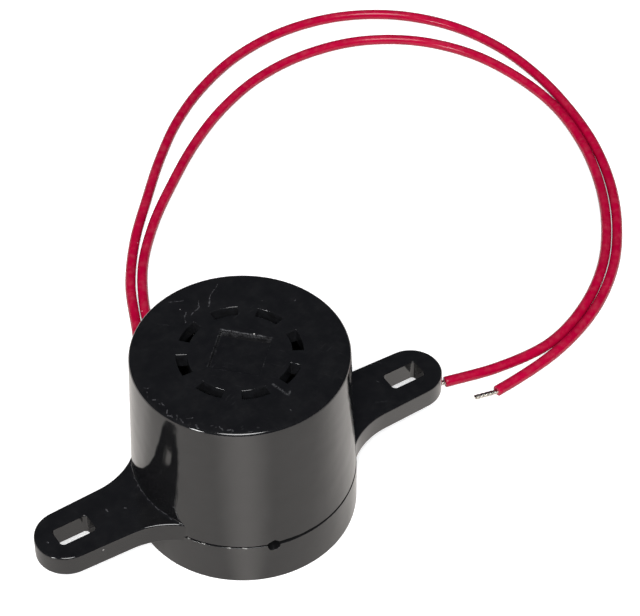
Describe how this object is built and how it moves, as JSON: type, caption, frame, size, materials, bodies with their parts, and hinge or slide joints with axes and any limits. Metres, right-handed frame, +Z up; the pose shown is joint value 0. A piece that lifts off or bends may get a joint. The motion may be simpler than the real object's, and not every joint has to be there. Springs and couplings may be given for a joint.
{
  "type": "piezo buzzer",
  "caption": "Round black piezo buzzer with sound slots in its top, slotted mounting ears on both sides and two red flying leads.",
  "frame": {"origin": "centre of the underside of the base cover, where the buzzer stands on the table", "axes": "+Z up through the sound slots, X along the line of the two ear slots, +Y towards the gates of the leads"},
  "size_m": [0.0901, 0.0748, 0.0217],
  "materials": {
    "shell_plastic": "glossy moulded black with fine scratches and dust",
    "cover_plastic": "glossy moulded black",
    "brass_sheet": "rolled sheet",
    "piezo_ceramic": "sintered, matt",
    "silver_layer": "fired silver, satin",
    "silicone": "cured bead",
    "laminate": "paper laminate",
    "copper": "etched copper",
    "ferrite": "sintered ferrite",
    "magnet_wire": "enamelled wire",
    "can_sleeve": "sleeved can",
    "bung_rubber": "moulded",
    "epoxy": "moulded epoxy",
    "tinned_leg": "tinned",
    "resistor_coat": "lacquered",
    "diode_case": "moulded",
    "solder": "bright solder",
    "lead_red": "soft red insulation with a slight sheen",
    "tinned_strand": "twisted and tinned strands"
  },
  "bodies": {
    "root": {"housing": "shell_plastic", "base_cover": "cover_plastic", "diaphragm_plate": "brass_sheet", "piezo_ceramic": "piezo_ceramic", "main_electrode": "silver_layer", "feedback_electrode": "silver_layer", "bond_ring": "silicone", "circuit_board": "laminate", "copper_pads": "copper", "coil_core": "ferrite", "coil_winding": "magnet_wire", "capacitor_can": "can_sleeve", "capacitor_bung": "bung_rubber", "transistor_body": "epoxy", "transistor_legs": "tinned_leg", "resistor_bodies": "resistor_coat", "resistor_legs": "tinned_leg", "diode_bodies": "diode_case", "diode_legs": "tinned_leg", "disc_wires": "tinned_strand", "disc_solder": "solder", "board_solder": "solder", "lead_cores": "tinned_strand", "lead_a": "lead_red", "lead_b": "lead_red", "lead_a_tip": "tinned_strand", "lead_b_tip": "tinned_strand"}
  },
  "joints": []
}
